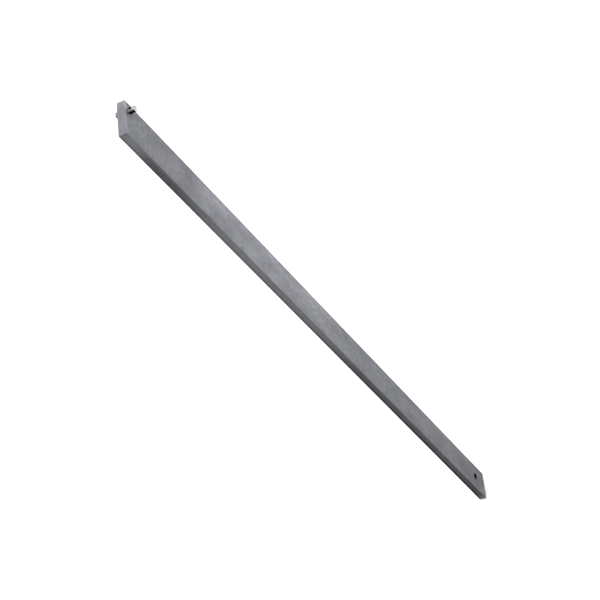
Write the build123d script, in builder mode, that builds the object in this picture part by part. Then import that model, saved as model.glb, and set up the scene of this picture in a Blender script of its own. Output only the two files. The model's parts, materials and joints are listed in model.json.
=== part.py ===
from build123d import *
from math import cos, radians, tan
import os

# Post anchor spike: a flat steel bar with both ends cut on the slant and a round cross pin near the top.
# The spike stands as it is driven: Z up, lower tip on Z = 0, wide faces looking along -Y and +Y.
# The origin is at the level of the lower tip, at the middle of the bar's width and thickness.
# All sizes are in millimetres.

# Flat bar
BAR_WIDTH = 40.0
BAR_THICKNESS = 12.0
BAR_LENGTH = 1000.0  # tip to tip
BAR_EDGE_RADIUS = 0.8  # slightly rounded long edges of rolled flat bar

# Slanted ends: the two cuts are parallel, so each end has one sharp corner
CUT_ANGLE = 20.0  # away from a square cut
CUT_EDGE_RADIUS = 0.6  # the rim of each cut face is rubbed round

# Cross pin, driven through the bar in the sharp corner of the top end
PIN_DIAMETER = 8.0  # bare ends
PIN_GRIP_DIAMETER = 8.4  # thicker middle that bites in the bar's hole
PIN_STAND_OUT = 7.5  # bare length on each side of the bar
PIN_END_CHAMFER = 0.8
PIN_FROM_EDGE = 6.5  # pin axis to the bar's +X edge
PIN_FROM_TOP = 12.0  # pin axis to the upper tip

# Anchor hole near the lower tip
ANCHOR_HOLE_DIAMETER = 10.0
ANCHOR_HOLE_HEIGHT = 44.0  # above the lower tip
ANCHOR_HOLE_OFF_CENTRE = 1.0  # from the bar's centre line, towards the pin's edge
ANCHOR_HOLE_CHAMFER = 0.3

pin_length = BAR_THICKNESS + 2 * PIN_STAND_OUT
pin_centre = (BAR_WIDTH / 2 - PIN_FROM_EDGE, BAR_LENGTH - PIN_FROM_TOP)
anchor_hole_centre = (ANCHOR_HOLE_OFF_CENTRE, ANCHOR_HOLE_HEIGHT)

# Rounding a sharp corner shortens the bar, so each cut starts this much beyond the finished tip
cut_slope = radians(CUT_ANGLE)
tip_loss = CUT_EDGE_RADIUS * (1 / cos(cut_slope) + tan(cut_slope) - 1)
cut_normal = (-tan(cut_slope), 0, 1)
lower_cut = Plane((-BAR_WIDTH / 2, 0, -tip_loss), z_dir=cut_normal)
upper_cut = Plane((BAR_WIDTH / 2, 0, BAR_LENGTH + tip_loss), z_dir=cut_normal)

with BuildPart() as spike_bar:
    # Rolled section, left long at both ends, then cut to length on the slant
    with BuildSketch(Plane.XY.offset(-BAR_WIDTH)):
        RectangleRounded(BAR_WIDTH, BAR_THICKNESS, BAR_EDGE_RADIUS)
    extrude(amount=BAR_LENGTH + 2 * BAR_WIDTH)
    split(bisect_by=lower_cut, keep=Keep.TOP)
    split(bisect_by=upper_cut, keep=Keep.BOTTOM)
    faces_by_height = spike_bar.faces().sort_by(Axis.Z)
    fillet(faces_by_height[0].edges() + faces_by_height[-1].edges(), CUT_EDGE_RADIUS)

    # Pin hole and anchor hole, both straight through the thickness
    with Locations(Plane.XZ):
        with Locations(pin_centre):
            Hole(PIN_GRIP_DIAMETER / 2)
        with Locations(anchor_hole_centre):
            Hole(ANCHOR_HOLE_DIAMETER / 2)
    below_hole = ANCHOR_HOLE_HEIGHT - ANCHOR_HOLE_DIAMETER
    above_hole = ANCHOR_HOLE_HEIGHT + ANCHOR_HOLE_DIAMETER
    circles = spike_bar.edges().filter_by(GeomType.CIRCLE)
    chamfer(circles.filter_by_position(Axis.Z, below_hole, above_hole), ANCHOR_HOLE_CHAMFER)
spike_bar.part.label = "spike_bar"

with BuildPart() as cross_pin:
    with BuildSketch(Plane.XZ):
        with Locations(pin_centre):
            Circle(PIN_DIAMETER / 2)
    extrude(amount=pin_length / 2, both=True)
    chamfer(cross_pin.edges().filter_by(GeomType.CIRCLE), PIN_END_CHAMFER)
    with BuildSketch(Plane.XZ):
        with Locations(pin_centre):
            Circle(PIN_GRIP_DIAMETER / 2)
    extrude(amount=BAR_THICKNESS / 2, both=True)
cross_pin.part.label = "cross_pin"

os.makedirs("parts", exist_ok=True)
export_step(spike_bar.part, "parts/spike_bar.step")
export_step(cross_pin.part, "parts/cross_pin.step")
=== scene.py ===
"""Looks of the post anchor spike: a zinc-grey flat bar with slanted ends and a bright cross pin.

Metres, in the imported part's frame: Z up along the bar, wide faces towards -Y and +Y,
cross pin near the upper end on the +X side.
"""

import json
import math

import bmesh
import bpy
from mathutils import Matrix, Vector, noise


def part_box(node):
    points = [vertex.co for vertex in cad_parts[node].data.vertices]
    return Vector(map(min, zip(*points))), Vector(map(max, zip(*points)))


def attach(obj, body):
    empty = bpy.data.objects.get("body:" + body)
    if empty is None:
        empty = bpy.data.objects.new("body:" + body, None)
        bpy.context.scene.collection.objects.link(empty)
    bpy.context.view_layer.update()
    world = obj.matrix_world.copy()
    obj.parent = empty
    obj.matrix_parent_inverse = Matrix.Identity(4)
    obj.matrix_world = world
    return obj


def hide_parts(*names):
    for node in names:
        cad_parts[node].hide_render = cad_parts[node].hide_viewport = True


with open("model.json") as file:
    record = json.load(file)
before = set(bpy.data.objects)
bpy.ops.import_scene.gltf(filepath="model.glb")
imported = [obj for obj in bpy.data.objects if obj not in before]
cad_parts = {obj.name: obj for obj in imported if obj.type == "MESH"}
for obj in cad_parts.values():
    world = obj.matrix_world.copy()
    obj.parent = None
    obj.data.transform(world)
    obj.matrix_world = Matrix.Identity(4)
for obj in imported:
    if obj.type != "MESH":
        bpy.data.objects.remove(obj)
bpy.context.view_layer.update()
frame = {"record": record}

MM = 0.001
MOUNTS = {mount["name"]: mount for mount in frame["record"]["mounts"]}

# Bar, from the frame and the section's known roundings
BAR_LOW, BAR_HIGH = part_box("spike_bar")
HALF_WIDTH = (BAR_HIGH.x - BAR_LOW.x) / 2
HALF_THICK = (BAR_HIGH.y - BAR_LOW.y) / 2
BAR_TOP = BAR_HIGH.z
CUT_ANGLE = math.radians(20)  # away from a square cut
CUT_SLOPE = math.tan(CUT_ANGLE)  # rise of each cut per metre of +X
EDGE_RADIUS = 0.8 * MM
RIM_RADIUS = 0.6 * MM

# Pin, on an axis along Y
PIN_LOW, PIN_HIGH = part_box("cross_pin")
PIN_X = (PIN_LOW.x + PIN_HIGH.x) / 2
PIN_Z = (PIN_LOW.z + PIN_HIGH.z) / 2
PIN_HALF = PIN_HIGH.y
PIN_RADIUS = MOUNTS["pin_front"]["dims"]["r_mm"] * MM
PIN_GRIP_RADIUS = (PIN_HIGH.x - PIN_LOW.x) / 2

# Anchor hole
HOLE_X, _, HOLE_Z = MOUNTS["anchor_hole"]["pos_m"]
HOLE_RADIUS = MOUNTS["anchor_hole"]["dims"]["r_mm"] * MM
HOLE_CHAMFER = 0.3 * MM

# Bar mesh: how finely each stretch is divided
COLUMNS = 32  # across a wide face
SIDE_ROWS = 8  # across a narrow face
ARC_STEPS = 4  # round each corner and each rim
LONG_STEP = 4 * MM  # along the plain shank
PATCH_RINGS = 4  # between a hole and the grid round it
HOLE_REACH = 7.5 * MM  # half the side of the block of grid that each hole takes out
PIN_REACH = 6.2 * MM
HOLE_ROWS = 12  # of grid in each block
PIN_ROWS = 14
WALL_STEPS = 6  # through the thickness in a hole
WAVINESS = 0.05 * MM  # how far the rolled faces dip below true flat


# ---------------------------------------------------------------- bar mesh


def spread(start, end, step):
    """Evenly spaced values from start to end, both included, at most step apart."""
    count = max(1, math.ceil(abs(end - start) / step))
    return [start + (end - start) * k / count for k in range(count + 1)]


def section_loop():
    """Rounded rectangle as (x, y, outward x, outward y), anticlockwise from the front face's -X side."""
    flat_x = HALF_WIDTH - EDGE_RADIUS
    flat_y = HALF_THICK - EDGE_RADIUS
    sides = [
        ((-flat_x, -HALF_THICK), (flat_x, -HALF_THICK), (0, -1), COLUMNS),
        ((HALF_WIDTH, -flat_y), (HALF_WIDTH, flat_y), (1, 0), SIDE_ROWS),
        ((flat_x, HALF_THICK), (-flat_x, HALF_THICK), (0, 1), COLUMNS),
        ((-HALF_WIDTH, flat_y), (-HALF_WIDTH, -flat_y), (-1, 0), SIDE_ROWS),
    ]
    centres = [(flat_x, -flat_y), (flat_x, flat_y), (-flat_x, flat_y), (-flat_x, -flat_y)]
    loop = []
    for number, (start, end, out, count) in enumerate(sides):
        for k in range(count + 1):
            t = k / count
            x = start[0] + (end[0] - start[0]) * t
            y = start[1] + (end[1] - start[1]) * t
            loop.append((x, y, out[0], out[1]))
        for k in range(1, ARC_STEPS):
            angle = math.radians(-90 + 90 * number + 90 * k / ARC_STEPS)
            out = (math.cos(angle), math.sin(angle))
            x = centres[number][0] + EDGE_RADIUS * out[0]
            y = centres[number][1] + EDGE_RADIUS * out[1]
            loop.append((x, y, out[0], out[1]))
    return loop


class BarMesh:
    """Collects vertices and faces of the bar, whose rings all lie parallel to the slanted cuts."""

    def __init__(self):
        self.verts = []
        self.faces = []
        self.loop = section_loop()
        self.rings = []

    def add(self, point):
        self.verts.append(point)
        return len(self.verts) - 1

    def add_ring(self, level, inset=0.0):
        """One ring of the section. level is its height at X = 0, inset moves it in from the wall."""
        ring = []
        for x, y, out_x, out_y in self.loop:
            px = x - out_x * inset
            py = y - out_y * inset
            ring.append(self.add((px, py, level + px * CUT_SLOPE)))
        self.rings.append(ring)
        return ring

    def bridge(self, one, other):
        count = len(one)
        for k in range(count):
            n = (k + 1) % count
            self.faces.append((one[k], one[n], other[n], other[k]))


def columns_of(front):
    """Loop positions of a wide face's columns, from -X to +X."""
    if front:
        return list(range(COLUMNS + 1))
    back_start = COLUMNS + 1 + SIDE_ROWS + 1 + 2 * (ARC_STEPS - 1)
    return [back_start + COLUMNS - k for k in range(COLUMNS + 1)]


def column_x(column):
    flat_x = HALF_WIDTH - EDGE_RADIUS
    return -flat_x + 2 * flat_x * column / COLUMNS


def block_columns(x, reach):
    """First and last column of the block round a hole, no nearer the corner than the flat's edge."""
    low = max(0, round((x - reach + HALF_WIDTH - EDGE_RADIUS) / (column_x(1) - column_x(0))))
    high = min(COLUMNS, round((x + reach + HALF_WIDTH - EDGE_RADIUS) / (column_x(1) - column_x(0))))
    return low, high


def perimeter(bar, front, block):
    """Grid vertices round a block, in order, starting at its lower -X corner."""
    columns = columns_of(front)
    c0, c1, r0, r1 = block
    path = [(r0, c) for c in range(c0, c1)]
    path += [(r, c1) for r in range(r0, r1)]
    path += [(r1, c) for c in range(c1, c0, -1)]
    path += [(r, c0) for r in range(r1, r0, -1)]
    return [bar.rings[r][columns[c]] for r, c in path]


def hole_patch(bar, front, block, x, z, radius):
    """Fills the block round a hole with rings of quads that turn from the grid into a circle."""
    outer = perimeter(bar, front, block)
    count = len(outer)
    first = Vector(bar.verts[outer[0]])
    start = math.atan2(first.z - z, first.x - x)
    y = -HALF_THICK if front else HALF_THICK
    previous = outer
    for step in range(1, PATCH_RINGS + 1):
        t = 1 - (1 - step / PATCH_RINGS) ** 1.3
        ring = []
        for k in range(count):
            angle = start + 2 * math.pi * k / count
            target = Vector((x + radius * math.cos(angle), y, z + radius * math.sin(angle)))
            ring.append(bar.add(tuple(Vector(bar.verts[outer[k]]).lerp(target, t))))
        bar.bridge(previous, ring)
        previous = ring
    return previous, start


def hole(bar, block, x, z, radius, chamfer):
    """A round hole through both wide faces, with its wall and, if it has one, its edge chamfer."""
    front_rim, start = hole_patch(bar, True, block, x, z, radius + chamfer)
    back_rim, _ = hole_patch(bar, False, block, x, z, radius + chamfer)
    inner = HALF_THICK - chamfer
    previous = front_rim
    depths = spread(-inner, inner, 2 * inner / WALL_STEPS)
    if not chamfer:
        depths = depths[1:-1]
    for y in depths:
        ring = []
        for k in range(len(front_rim)):
            angle = start + 2 * math.pi * k / len(front_rim)
            ring.append(bar.add((x + radius * math.cos(angle), y, z + radius * math.sin(angle))))
        bar.bridge(previous, ring)
        previous = ring
    bar.bridge(previous, back_rim)


def cap(bar, ring):
    """Closes an end with a grid of quads between the ring's long and short sides."""
    half_arc = ARC_STEPS // 2
    wide = COLUMNS + 2 * half_arc
    deep = SIDE_ROWS + 2 * half_arc
    count = len(ring)
    start = -half_arc
    at = [ring[(start + k) % count] for k in range(count)]
    low = at[0 : wide + 1]
    right = at[wide : wide + deep + 1]
    high = at[wide + deep : 2 * wide + deep + 1][::-1]
    left = [at[0]] + at[2 * wide + deep :][::-1]
    grid = [low]
    for j in range(1, deep):
        row = [left[j]]
        for i in range(1, wide):
            u = i / wide
            v = j / deep
            sides = Vector(bar.verts[low[i]]).lerp(Vector(bar.verts[high[i]]), v)
            ends = Vector(bar.verts[left[j]]).lerp(Vector(bar.verts[right[j]]), u)
            lower = Vector(bar.verts[low[0]]).lerp(Vector(bar.verts[low[-1]]), u)
            upper = Vector(bar.verts[high[0]]).lerp(Vector(bar.verts[high[-1]]), u)
            row.append(bar.add(tuple(sides + ends - lower.lerp(upper, v))))
        row.append(right[j])
        grid.append(row)
    grid.append(high)
    for j in range(deep):
        for i in range(wide):
            bar.faces.append((grid[j][i], grid[j][i + 1], grid[j + 1][i + 1], grid[j + 1][i]))


def dip(point, face):
    """Shallow unevenness of a rolled and zinc-dipped face, 0 to 1."""
    spot = Vector((point.x * 22 + 7 * face, point.y * 22 + 3 * face, point.z * 11))
    return 0.5 + 0.5 * noise.noise(spot)


def uneven(verts):
    """Moves the faces inwards by up to WAVINESS, fading out towards the rounded corners' insides."""
    moved = []
    for co in verts:
        p = Vector(co)
        near_wide = max(0.0, min(1.0, (abs(p.y) - (HALF_THICK - EDGE_RADIUS)) / EDGE_RADIUS))
        near_narrow = max(0.0, min(1.0, (abs(p.x) - (HALF_WIDTH - EDGE_RADIUS)) / EDGE_RADIUS))
        side_y = math.copysign(1, p.y)
        side_x = math.copysign(1, p.x)
        y = p.y - side_y * near_wide * WAVINESS * dip(p, side_y)
        x = p.x - side_x * near_narrow * WAVINESS * dip(p, 2 + side_x)
        moved.append((x, y, p.z))
    return moved


def bar_levels():
    """Ring heights at X = 0, and for each hole the ring numbers that bound its block."""
    tip_loss = RIM_RADIUS * (1 - math.cos(CUT_ANGLE) + (1 - math.sin(CUT_ANGLE)) * CUT_SLOPE)
    bottom = HALF_WIDTH * CUT_SLOPE - tip_loss
    top = BAR_TOP - HALF_WIDTH * CUT_SLOPE + tip_loss
    hole_level = HOLE_Z - HOLE_X * CUT_SLOPE
    pin_level = PIN_Z - PIN_X * CUT_SLOPE
    marks = [
        (bottom + RIM_RADIUS, None),
        (hole_level - HOLE_REACH, LONG_STEP),
        (hole_level + HOLE_REACH, 2 * HOLE_REACH / HOLE_ROWS),
        (pin_level - PIN_REACH, LONG_STEP),
        (pin_level + PIN_REACH, 2 * PIN_REACH / PIN_ROWS),
        (top - RIM_RADIUS, 1 * MM),
    ]
    levels = [marks[0][0]]
    ends = [0]
    for level, step in marks[1:]:
        levels += spread(levels[-1], level, step)[1:]
        ends.append(len(levels) - 1)
    return bottom, top, levels, (ends[1], ends[2]), (ends[3], ends[4])


def new_mesh_object(name, verts, faces):
    """A smooth-shaded closed mesh, without unused points and with every face turned outwards."""
    mesh = bpy.data.meshes.new(name)
    mesh.from_pydata(verts, [], faces)
    shell = bmesh.new()
    shell.from_mesh(mesh)
    unused = [vert for vert in shell.verts if not vert.link_faces]
    bmesh.ops.delete(shell, geom=unused, context="VERTS")
    bmesh.ops.recalc_face_normals(shell, faces=shell.faces)
    shell.to_mesh(mesh)
    shell.free()
    mesh.shade_smooth()
    piece = bpy.data.objects.new(name, mesh)
    bpy.context.scene.collection.objects.link(piece)
    return piece


def rim_steps():
    """Inset and distance from the cut for each ring of a rounded rim, from the wall inwards."""
    for step in range(1, ARC_STEPS + 1):
        angle = math.radians(90 * step / ARC_STEPS)
        yield RIM_RADIUS * (1 - math.cos(angle)), RIM_RADIUS * (1 - math.sin(angle))


def make_bar():
    bottom, top, levels, hole_rows, pin_rows = bar_levels()
    bar = BarMesh()
    for level in levels:
        bar.add_ring(level)
    body = list(bar.rings)

    hole_block = (*block_columns(HOLE_X, HOLE_REACH), *hole_rows)
    pin_block = (*block_columns(PIN_X, PIN_REACH), *pin_rows)
    left_open = set()
    for c0, c1, r0, r1 in (hole_block, pin_block):
        for front in (True, False):
            columns = columns_of(front)
            for row in range(r0, r1):
                for c in range(c0, c1):
                    left_open.add((row, min(columns[c], columns[c + 1])))
    count = len(bar.loop)
    for row in range(len(body) - 1):
        for k in range(count):
            if (row, k) in left_open:
                continue
            n = (k + 1) % count
            bar.faces.append((body[row][k], body[row][n], body[row + 1][n], body[row + 1][k]))

    hole(bar, hole_block, HOLE_X, HOLE_Z, HOLE_RADIUS, HOLE_CHAMFER)
    hole(bar, pin_block, PIN_X, PIN_Z, PIN_GRIP_RADIUS, 0)

    for cut, sign, start in ((bottom, 1, body[0]), (top, -1, body[-1])):
        previous = start
        for inset, distance in rim_steps():
            ring = bar.add_ring(cut + sign * distance, inset)
            bar.bridge(previous, ring)
            previous = ring
        cap(bar, previous)

    return new_mesh_object("bar_body", uneven(bar.verts), bar.faces)


# ---------------------------------------------------------------- pin mesh

PIN_SEGMENTS = 64
PIN_CHAMFER = 0.8 * MM
PIN_EDGE = 0.12 * MM  # tiny rounding where chamfer meets face and shank
PIN_DOME = 0.05 * MM  # the end face's centre stands this much proud of its rim
HAIRLINE = 0.02 * MM  # between the pin's grip and its hole


def pin_profile():
    """Half of the pin's outline as (radius, distance from the middle), from the end face's centre inwards."""
    face_radius = PIN_RADIUS - PIN_CHAMFER
    rim = PIN_HALF - PIN_DOME
    points = []
    for step in range(1, 6):
        radius = (face_radius - PIN_EDGE) * step / 5
        points.append((radius, PIN_HALF - PIN_DOME * (radius / face_radius) ** 2))
    points.append((face_radius, rim - PIN_EDGE * 0.4))
    points.append((face_radius + PIN_EDGE, rim - PIN_EDGE * 1.2))
    points.append((PIN_RADIUS - PIN_EDGE, rim - PIN_CHAMFER + PIN_EDGE))
    points.append((PIN_RADIUS - PIN_EDGE * 0.3, rim - PIN_CHAMFER))
    points.append((PIN_RADIUS, rim - PIN_CHAMFER - PIN_EDGE))
    for distance in spread(rim - PIN_CHAMFER - PIN_EDGE, HALF_THICK, 1 * MM)[1:]:
        points.append((PIN_RADIUS, distance))
    points.append((PIN_GRIP_RADIUS - HAIRLINE, HALF_THICK - HAIRLINE))
    for distance in spread(HALF_THICK - HAIRLINE, 0, 2 * MM)[1:]:
        points.append((PIN_GRIP_RADIUS - HAIRLINE, distance))
    return points


def make_pin():
    half = pin_profile()
    whole = [(radius, -distance) for radius, distance in half]
    whole += [(radius, distance) for radius, distance in reversed(half[:-1])]
    verts = []
    for radius, y in whole:
        for k in range(PIN_SEGMENTS):
            angle = 2 * math.pi * k / PIN_SEGMENTS
            verts.append((PIN_X + radius * math.cos(angle), y, PIN_Z + radius * math.sin(angle)))
    faces = []
    for row in range(len(whole) - 1):
        for k in range(PIN_SEGMENTS):
            n = (k + 1) % PIN_SEGMENTS
            a = row * PIN_SEGMENTS
            b = a + PIN_SEGMENTS
            faces.append((a + n, a + k, b + k, b + n))
    for y, base, flip in ((-PIN_HALF, 0, False), (PIN_HALF, (len(whole) - 1) * PIN_SEGMENTS, True)):
        verts.append((PIN_X, y, PIN_Z))
        middle = len(verts) - 1
        for k in range(PIN_SEGMENTS):
            n = (k + 1) % PIN_SEGMENTS
            pair = (base + n, base + k) if flip else (base + k, base + n)
            faces.append((middle, *pair))
    return new_mesh_object("pin_body", verts, faces)


# ---------------------------------------------------------------- materials


class Nodes:
    """Short calls for building one material's node tree."""

    def __init__(self, name):
        self.material = bpy.data.materials.new(name)
        self.material.use_nodes = True
        self.tree = self.material.node_tree
        self.shader = self.tree.nodes["Principled BSDF"]
        place = self.tree.nodes.new("ShaderNodeTexCoord")
        self.place = place.outputs["Object"]

    def link(self, source, target):
        if isinstance(source, (int, float, tuple)):
            target.default_value = source
        else:
            self.tree.links.new(source, target)

    def scaled(self, x, y, z):
        node = self.tree.nodes.new("ShaderNodeMapping")
        node.inputs["Scale"].default_value = (x, y, z)
        self.link(self.place, node.inputs["Vector"])
        return node.outputs["Vector"]

    def noise(self, vector, scale, detail=3.0, roughness=0.5, distortion=0.0):
        node = self.tree.nodes.new("ShaderNodeTexNoise")
        self.link(vector, node.inputs["Vector"])
        node.inputs["Scale"].default_value = scale
        node.inputs["Detail"].default_value = detail
        node.inputs["Roughness"].default_value = roughness
        node.inputs["Distortion"].default_value = distortion
        return node.outputs["Fac"]

    def cell_distance(self, vector, scale):
        """Distance from the middle of the nearest of many irregular cells."""
        node = self.tree.nodes.new("ShaderNodeTexVoronoi")
        self.link(vector, node.inputs["Vector"])
        node.inputs["Scale"].default_value = scale
        return node.outputs["Distance"]

    def math(self, operation, a, b=0.0, clamp=False):
        node = self.tree.nodes.new("ShaderNodeMath")
        node.operation = operation
        node.use_clamp = clamp
        self.link(a, node.inputs[0])
        self.link(b, node.inputs[1])
        return node.outputs[0]

    def ramp(self, value, low, high, to_low=0.0, to_high=1.0):
        node = self.tree.nodes.new("ShaderNodeMapRange")
        node.interpolation_type = "SMOOTHSTEP"
        self.link(value, node.inputs["Value"])
        node.inputs["From Min"].default_value = low
        node.inputs["From Max"].default_value = high
        node.inputs["To Min"].default_value = to_low
        node.inputs["To Max"].default_value = to_high
        return node.outputs["Result"]

    def blend(self, factor, a, b):
        node = self.tree.nodes.new("ShaderNodeMix")
        node.data_type = "RGBA"
        self.link(factor, node.inputs["Factor"])
        self.link(a, node.inputs[6])
        self.link(b, node.inputs[7])
        return node.outputs[2]

    def split(self):
        node = self.tree.nodes.new("ShaderNodeSeparateXYZ")
        self.link(self.place, node.inputs[0])
        return node.outputs["X"], node.outputs["Y"], node.outputs["Z"]

    def bump(self, height, strength, distance, after=None):
        node = self.tree.nodes.new("ShaderNodeBump")
        node.inputs["Strength"].default_value = strength
        node.inputs["Distance"].default_value = distance
        self.link(height, node.inputs["Height"])
        if after is not None:
            self.link(after, node.inputs["Normal"])
        return node.outputs["Normal"]


def steel(value, red=0.975, blue=1.09):
    """A blue-grey of the given lightness. red and blue are the channels' shares of green."""
    return (value * red, value, value * blue, 1.0)


def round_ramp(n, x, z, centre_x, centre_z, reach, radius):
    """1 within radius of a cross hole's axis, fading to 0 at reach."""
    dx = n.math("SUBTRACT", x, centre_x)
    dz = n.math("SUBTRACT", z, centre_z)
    squared = n.math("ADD", n.math("MULTIPLY", dx, dx), n.math("MULTIPLY", dz, dz))
    return n.ramp(n.math("SQRT", squared), reach, radius)


# Directions round the pin's axis in the XZ plane, in degrees from +X, of the painted dark reflection on the
# pin and the painted shadow on the bar
DARK_BAND_BESIDE = 203
DARK_SPOT_ON_TOP = 92
SHADOW_BESIDE = 185


def towards(n, dx, dz, degrees):
    """How far the offset (dx, dz) reaches in one of those directions."""
    across = n.math("MULTIPLY", dx, math.cos(math.radians(degrees)))
    along = n.math("MULTIPLY", dz, math.sin(math.radians(degrees)))
    return n.math("ADD", across, along)


def cut_masks(n, x, z):
    """1 on the lower and on the upper slanted end face, 0 on the shank."""
    level = n.math("SUBTRACT", z, n.math("MULTIPLY", x, CUT_SLOPE))
    low_cut = HALF_WIDTH * CUT_SLOPE + 0.9 * MM
    # The upper cut's mask is full from 1.6 mm below the cut and fades out at 2.6 mm, so the cut's paler
    # colour runs past the rounded rim onto the shank as a painted highlight.
    high_cut = BAR_TOP - HALF_WIDTH * CUT_SLOPE - 2.6 * MM
    return n.ramp(level, low_cut, low_cut - 0.6 * MM), n.ramp(level, high_cut, high_cut + 1.0 * MM)


def edge_mask(n, x, y):
    """1 on the four long rounded edges, 0 on the flats."""
    near_x = n.math("SUBTRACT", n.math("ABSOLUTE", x), HALF_WIDTH - EDGE_RADIUS)
    near_y = n.math("SUBTRACT", n.math("ABSOLUTE", y), HALF_THICK - EDGE_RADIUS)
    return n.ramp(n.math("MINIMUM", near_x, near_y), -0.7 * MM, 0.3 * MM)


def zinc_colour(n, x, y, z, clouds, patches, grain, drawn):
    """The shank's cloudy blue-grey, with painted light and painted shade in stretches on the narrow faces,
    and darker towards the tip.
    """
    hue = n.noise(n.scaled(1.2, 1.2, 0.6), 48, 2.0, 0.5)
    mottle = n.noise(n.scaled(1, 1, 0.8), 240, 3.0, 0.6)
    spangle = n.cell_distance(n.scaled(1, 1, 0.8), 150)
    scuffs = n.noise(n.scaled(1, 1, 0.05), 260, 4.0, 0.65, 0.4)

    base = n.blend(n.ramp(clouds, 0.32, 0.68), steel(0.21), steel(0.30))
    base = n.blend(n.ramp(patches, 0.35, 0.7, 0.0, 0.4), base, steel(0.27))
    base = n.blend(n.ramp(hue, 0.52, 0.66, 0.0, 0.7), base, steel(0.262, 1.02, 1.12))
    base = n.blend(n.ramp(hue, 0.46, 0.34, 0.0, 0.7), base, steel(0.262, 0.93, 1.06))
    base = n.blend(n.ramp(spangle, 0.1, 0.8, 0.0, 0.16), base, steel(0.20))
    base = n.blend(n.ramp(mottle, 0.40, 0.68, 0.0, 0.55), base, steel(0.18))
    base = n.blend(n.ramp(mottle, 0.45, 0.28, 0.0, 0.55), base, steel(0.36))
    base = n.blend(n.ramp(grain, 0.3, 0.7, 0.0, 0.12), base, steel(0.15))
    base = n.blend(n.ramp(drawn, 0.60, 0.72, 0.0, 0.15), base, steel(0.36))
    base = n.blend(n.ramp(scuffs, 0.62, 0.74, 0.0, 0.2), base, steel(0.16))
    base = n.blend(n.ramp(x, HALF_WIDTH, -HALF_WIDTH, 0.0, 0.22), base, steel(0.15))
    worn = n.math("MULTIPLY", n.ramp(x, HALF_WIDTH - 3 * MM, HALF_WIDTH - 1 * MM), n.ramp(z, 0.72, 0.58))
    base = n.blend(n.math("MULTIPLY", worn, 0.5), base, steel(0.42))
    base = n.blend(n.ramp(z, 0.18, 0.0, 0.0, 0.5), base, steel(0.12))
    dull_patch = round_ramp(n, x, z, -10 * MM, 0.9, 80 * MM, 20 * MM)
    base = n.blend(n.math("MULTIPLY", dull_patch, 0.4), base, steel(0.14))

    narrow = n.ramp(n.math("ABSOLUTE", x), HALF_WIDTH - EDGE_RADIUS, HALF_WIDTH - 0.15 * MM)
    # Painted light: the narrow faces are lighter along the middle of the bar's length and near the top.
    middle = n.math("MULTIPLY", n.ramp(z, 0.42, 0.58), n.ramp(z, 0.90, 0.77))
    light = n.math("MAXIMUM", middle, n.ramp(z, 0.93, 0.97))
    base = n.blend(n.math("MULTIPLY", narrow, n.math("MULTIPLY", light, 0.75)), base, steel(0.44))
    # Painted light: the narrow faces are lighter towards their -Y edge, as a crowned face would catch more
    # light there, less so at the lower end.
    lit = n.ramp(y, -0.4 * HALF_THICK, -0.9 * HALF_THICK, 0.0, 0.55)
    lit = n.math("MULTIPLY", lit, n.ramp(z, 0.0, 0.35, 0.4, 1.0))
    base = n.blend(n.math("MULTIPLY", narrow, lit), base, steel(0.4))
    # Painted shade: the narrow faces darken towards their +Y edge, most towards the lower end.
    shaded = n.ramp(y, 0.1 * HALF_THICK, 0.75 * HALF_THICK)
    shaded = n.math("MULTIPLY", shaded, n.ramp(z, 0.75, 0.35, 0.42, 0.9))
    base = n.blend(n.math("MULTIPLY", narrow, shaded), base, steel(0.06))
    # Painted shade: near black towards the +Y edge at the lowest end of the narrow faces.
    deep_shade = n.ramp(y, 0.3 * HALF_THICK, 0.65 * HALF_THICK)
    deep_shade = n.math("MULTIPLY", deep_shade, n.ramp(z, 0.35, 0.05))
    return n.blend(n.math("MULTIPLY", narrow, deep_shade), base, steel(0.02))


def sawn_colour(n, x, y, patches, sawn):
    """The bare, paler steel of the upper cut, streaked along the saw's path, lightest near its +X corner."""
    colour = n.blend(n.ramp(sawn, 0.36, 0.64), steel(0.265, 0.99, 1.08), steel(0.40, 0.99, 1.08))
    colour = n.blend(n.ramp(patches, 0.35, 0.65, 0.0, 0.3), colour, steel(0.27, 1.0, 1.06))
    tip = n.ramp(x, HALF_WIDTH - 9 * MM, HALF_WIDTH - 2 * MM, 0.0, 0.45)
    colour = n.blend(tip, colour, steel(0.5, 1.0, 1.06))
    # Painted highlight along the upper cut's front (-Y) rim, growing towards +X.
    rim = n.math("MULTIPLY", n.ramp(y, -0.8 * HALF_THICK, -0.97 * HALF_THICK), n.ramp(x, 3 * MM, 13 * MM))
    return n.blend(n.math("MULTIPLY", rim, 0.6), colour, steel(0.6, 1.0, 1.06))


def round_pin_shading(n, x, z, base):
    """Painted shadow of the pin: darkens the bar's face round the pin, most on the side away from the bar's
    near edge.

    A painted highlight brightens a spot between the pin and the upper cut, lifting the shade the pin casts
    there.
    """
    dx = n.math("SUBTRACT", x, PIN_X)
    dz = n.math("SUBTRACT", z, PIN_Z)
    beside = n.ramp(towards(n, dx, dz, SHADOW_BESIDE), 0.0, PIN_RADIUS)
    # Painted shadow of the pin on the bar's face: a soft halo reaching down along the ridge, and a near-black
    # ring at the pin's root that is strongest on the side away from the bar's near edge.
    halo = round_ramp(n, x, z, PIN_X - 8 * MM, PIN_Z - 2 * MM, 11 * MM, 3 * MM)
    pin_shadow = round_ramp(n, x, z, PIN_X, PIN_Z, PIN_RADIUS + 1.6 * MM, PIN_RADIUS + 0.2 * MM)
    # Painted highlight: a pale spot between the pin and the upper cut.
    painted_shading = round_ramp(n, x, z, PIN_X - 2.5 * MM, PIN_Z + 7.5 * MM, 5.5 * MM, 3 * MM)
    base = n.blend(n.math("MULTIPLY", painted_shading, 0.6), base, steel(0.6))
    base = n.blend(n.math("MULTIPLY", halo, 0.25), base, steel(0.12))
    return n.blend(n.math("MULTIPLY", pin_shadow, n.ramp(beside, 0.0, 1.0, 0.05, 0.85)), base, steel(0.03))


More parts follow.
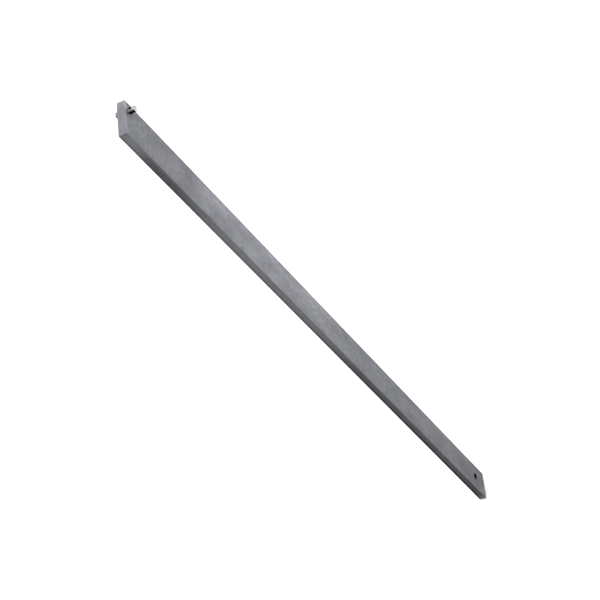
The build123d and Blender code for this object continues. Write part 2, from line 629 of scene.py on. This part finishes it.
def zinc_bar():
    """Dull blue-grey zinc on rolled steel: cloudy, faintly spangled, drawn along its length."""
    n = Nodes("zinc_bar")
    x, y, z = n.split()
    low_cut, high_cut = cut_masks(n, x, z)
    clouds = n.noise(n.scaled(1, 1, 0.5), 30, 3.0, 0.5, 0.5)
    patches = n.noise(n.scaled(1, 1, 0.7), 85, 2.0, 0.5, 0.3)
    grain = n.noise(n.place, 900, 4.0, 0.6)
    drawn = n.noise(n.scaled(1, 1, 0.012), 700, 3.0, 0.6)
    sawn = n.noise(n.scaled(0.08, 1, 0.08), 1100, 4.0, 0.65)

    base = zinc_colour(n, x, y, z, clouds, patches, grain, drawn)
    base = round_pin_shading(n, x, z, base)
    # Painted shade: the long rounded edges are darker, more so towards the lower end.
    painted_shading = n.math("MULTIPLY", edge_mask(n, x, y), n.ramp(patches, 0.35, 0.65, 0.1, 0.5))
    base = n.blend(n.math("MULTIPLY", painted_shading, n.ramp(z, 0.6, 0.1)), base, steel(0.06))
    base = n.blend(n.math("MULTIPLY", low_cut, 0.85), base, steel(0.05))
    base = n.blend(high_cut, base, sawn_colour(n, x, y, patches, sawn))
    # Painted shade: the anchor hole's wall is near black and not metallic, where little light reaches inside.
    bore = round_ramp(n, x, z, HOLE_X, HOLE_Z, HOLE_RADIUS + 0.25 * MM, HOLE_RADIUS + 0.05 * MM)
    base = n.blend(bore, base, steel(0.003))
    n.link(base, n.shader.inputs["Base Color"])
    n.shader.inputs["Specular IOR Level"].default_value = 0.05

    rough = n.ramp(clouds, 0.3, 0.7, 0.50, 0.40)
    rough = n.math("ADD", rough, n.ramp(grain, 0.3, 0.7, -0.04, 0.05))
    rough = n.math("ADD", rough, n.math("MULTIPLY", high_cut, 0.08))
    rough = n.math("ADD", rough, n.math("MULTIPLY", bore, 0.4), clamp=True)
    n.link(rough, n.shader.inputs["Roughness"])
    n.link(n.ramp(bore, 0.0, 1.0, 0.9, 0.0), n.shader.inputs["Metallic"])

    soft = n.bump(patches, 0.3, 0.25 * MM)
    lines = n.bump(drawn, 0.25, 0.03 * MM, soft)
    sawn_lines = n.bump(n.math("MULTIPLY", sawn, high_cut), 0.5, 0.08 * MM, lines)
    n.link(n.bump(grain, 0.30, 0.03 * MM, sawn_lines), n.shader.inputs["Normal"])
    return n.material


def bright_pin():
    """Bright drawn round steel with turned ends, painted black beside and on top as a dark reflection, and
    darkened at the root as shade.
    """
    n = Nodes("bright_pin")
    x, y, z = n.split()
    dx = n.math("SUBTRACT", x, PIN_X)
    dz = n.math("SUBTRACT", z, PIN_Z)
    squared = n.math("ADD", n.math("MULTIPLY", dx, dx), n.math("MULTIPLY", dz, dz))
    radius = n.math("SQRT", squared)
    stand_out = n.math("SUBTRACT", n.math("ABSOLUTE", y), HALF_THICK)

    smear = n.noise(n.scaled(1, 0.25, 1), 500, 3.0, 0.55)
    turning = n.noise(n.scaled(0.05, 1, 0.05), 2600, 2.0, 0.6)
    end_face = n.ramp(stand_out, PIN_HALF - HALF_THICK - 0.35 * MM, PIN_HALF - HALF_THICK - 0.1 * MM)
    rings = n.math("SINE", n.math("MULTIPLY", radius, 2 * math.pi / (0.35 * MM)))

    # Painted dark reflection and shade: a black band along the side, a black spot on top near the root, and a
    # darker root next to the bar.
    side = n.ramp(n.math("DIVIDE", towards(n, dx, dz, DARK_BAND_BESIDE), radius), 0.65, 0.75)
    side = n.math("MULTIPLY", side, n.ramp(y, 0.0, -HALF_THICK, 0.45, 1.0))
    top = n.ramp(n.math("DIVIDE", towards(n, dx, dz, DARK_SPOT_ON_TOP), radius), 0.80, 0.88)
    top = n.math("MULTIPLY", top, n.ramp(stand_out, 5.3 * MM, 4.2 * MM))
    top = n.math("MULTIPLY", top, n.ramp(stand_out, 0.0, 0.5 * MM))
    root = n.ramp(stand_out, 0.8 * MM, 0.1 * MM, 0.0, 0.4)
    dark_reflection_and_shade = n.math("MAXIMUM", n.math("MAXIMUM", side, top), root)
    dark_reflection_and_shade = n.math("MULTIPLY", dark_reflection_and_shade, n.math("SUBTRACT", 1.0, end_face))
    dark_reflection_and_shade = n.math("MULTIPLY", dark_reflection_and_shade, n.ramp(smear, 0.2, 0.4, 0.94, 1.0))

    base = n.blend(n.ramp(smear, 0.35, 0.7), steel(0.66, 1.0, 1.01), steel(0.80, 1.0, 1.01))
    base = n.blend(n.ramp(turning, 0.5, 0.75, 0.0, 0.3), base, steel(0.52, 1.0, 1.01))
    base = n.blend(n.math("MULTIPLY", end_face, 0.9), base, steel(0.54, 1.0, 1.01))
    base = n.blend(n.ramp(y, 0.0, HALF_THICK, 0.0, 0.55), base, steel(0.30, 1.0, 1.01))
    base = n.blend(dark_reflection_and_shade, base, steel(0.003, 1.0, 1.0))
    n.link(base, n.shader.inputs["Base Color"])
    n.shader.inputs["Specular IOR Level"].default_value = 0.05

    rough = n.ramp(smear, 0.3, 0.7, 0.12, 0.22)
    rough = n.math("ADD", rough, n.math("MULTIPLY", end_face, 0.15))
    rough = n.math("ADD", rough, n.math("MULTIPLY", dark_reflection_and_shade, 0.2), clamp=True)
    n.link(rough, n.shader.inputs["Roughness"])
    n.link(n.ramp(dark_reflection_and_shade, 0.0, 1.0, 1.0, 0.0), n.shader.inputs["Metallic"])

    scratches = n.bump(turning, 0.15, 0.01 * MM)
    turned = n.bump(n.math("MULTIPLY", rings, end_face), 0.25, 0.01 * MM, scratches)
    n.link(turned, n.shader.inputs["Normal"])
    return n.material


def pale_floor():
    n = Nodes("pale_floor")
    speckle = n.noise(n.place, 6, 2.0)
    paint = n.blend(n.ramp(speckle, 0.3, 0.7), steel(0.95, 1.0, 1.0), steel(0.97, 1.0, 1.0))
    n.link(paint, n.shader.inputs["Base Color"])
    n.shader.inputs["Roughness"].default_value = 0.9
    return n.material


def glow(name, value):
    """Plain light-giving grey, for the studio cards."""
    material = bpy.data.materials.new(name)
    material.use_nodes = True
    tree = material.node_tree
    tree.nodes.clear()
    emission = tree.nodes.new("ShaderNodeEmission")
    emission.inputs["Color"].default_value = (1, 1, 1, 1)
    emission.inputs["Strength"].default_value = value
    output = tree.nodes.new("ShaderNodeOutputMaterial")
    tree.links.new(emission.outputs[0], output.inputs["Surface"])
    return material


# ---------------------------------------------------------------- studio

CAMERA_AIM = Vector((0, -0.0012, 0.6053))
CAMERA_DISTANCE = 1.568
CAMERA_AZIMUTH = math.radians(51.41)  # viewing direction on the floor, from +Y towards +X
CAMERA_ELEVATION = math.radians(42.37)
CAMERA_ROLL = math.radians(44.29)
CAMERA_LENS = 69.71


def add_camera():
    flat = math.cos(CAMERA_ELEVATION)
    forward_x = math.sin(CAMERA_AZIMUTH) * flat
    forward_y = math.cos(CAMERA_AZIMUTH) * flat
    forward = Vector((forward_x, forward_y, -math.sin(CAMERA_ELEVATION)))
    data = bpy.data.cameras.new("camera")
    data.lens = CAMERA_LENS
    data.clip_end = 100
    camera = bpy.data.objects.new("camera", data)
    bpy.context.scene.collection.objects.link(camera)
    level = forward.to_track_quat("-Z", "Y").to_matrix().to_4x4()
    place = Matrix.Translation(CAMERA_AIM - forward * CAMERA_DISTANCE)
    camera.matrix_world = place @ level @ Matrix.Rotation(-CAMERA_ROLL, 4, "Z")
    bpy.context.scene.camera = camera


def flat_card(name, centre, across, up, material):
    """A rectangle round centre, spanned by the half-vectors across and up."""
    centre, across, up = Vector(centre), Vector(across), Vector(up)
    corners = [centre - across - up, centre + across - up, centre + across + up, centre - across + up]
    mesh = bpy.data.meshes.new(name)
    mesh.from_pydata([tuple(c) for c in corners], [], [(0, 1, 2, 3)])
    card = bpy.data.objects.new(name, mesh)
    bpy.context.scene.collection.objects.link(card)
    mesh.materials.append(material)
    return card


def reflection_card(name, centre, across, up, value):
    """A card that only glossy surfaces see, as a studio flag beside the camera."""
    card = flat_card(name, centre, across, up, glow(name, value))
    card.visible_camera = False
    card.visible_diffuse = False
    card.visible_shadow = False
    card.visible_transmission = False
    return card


def add_studio():
    scene = bpy.context.scene
    scene.view_settings.view_transform = "Standard"
    world = bpy.data.worlds.new("soft_white")
    world.use_nodes = True
    background = world.node_tree.nodes["Background"]
    background.inputs["Color"].default_value = (1.0, 1.0, 1.0, 1.0)
    background.inputs["Strength"].default_value = 1.6
    scene.world = world

    flat_card("floor", (0, 0, 0), (12, 0, 0), (0, 12, 0), pale_floor())

    reflection_card("flag_ground", (-0.56, 0.3, 0.002), (0.537, 0, 0), (0, 1.2, 0), 0.22)
    reflection_card("flag_foot", (0.25, -0.2, 0.002), (0.25, 0, 0), (0, 0.2, 0), 0.8)
    reflection_card("flag_left", (-1.3, 0.5, 1.15), (0, 1.5, 0), (0, 0, 1.15), 0.05)
    reflection_card("flag_front", (-1.0, -0.6, 0.65), (1.1, 0, 0), (0, 0, 0.65), 0.05)
    reflection_card("flag_right", (1.0, -0.7, 1.0), (0, 0.5, 0), (0, 0, 0.65), 0.05)
    reflection_card("scrim_top", (0, 0.6, 3.0), (2.5, 0, 0), (0, 2.5, 0), 0.85)


# ---------------------------------------------------------------- assembly

bar = make_bar()
bar.data.materials.append(zinc_bar())
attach(bar, "root")
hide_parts("spike_bar")

pin = make_pin()
pin.data.materials.append(bright_pin())
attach(pin, "root")
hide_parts("cross_pin")

add_camera()
add_studio()
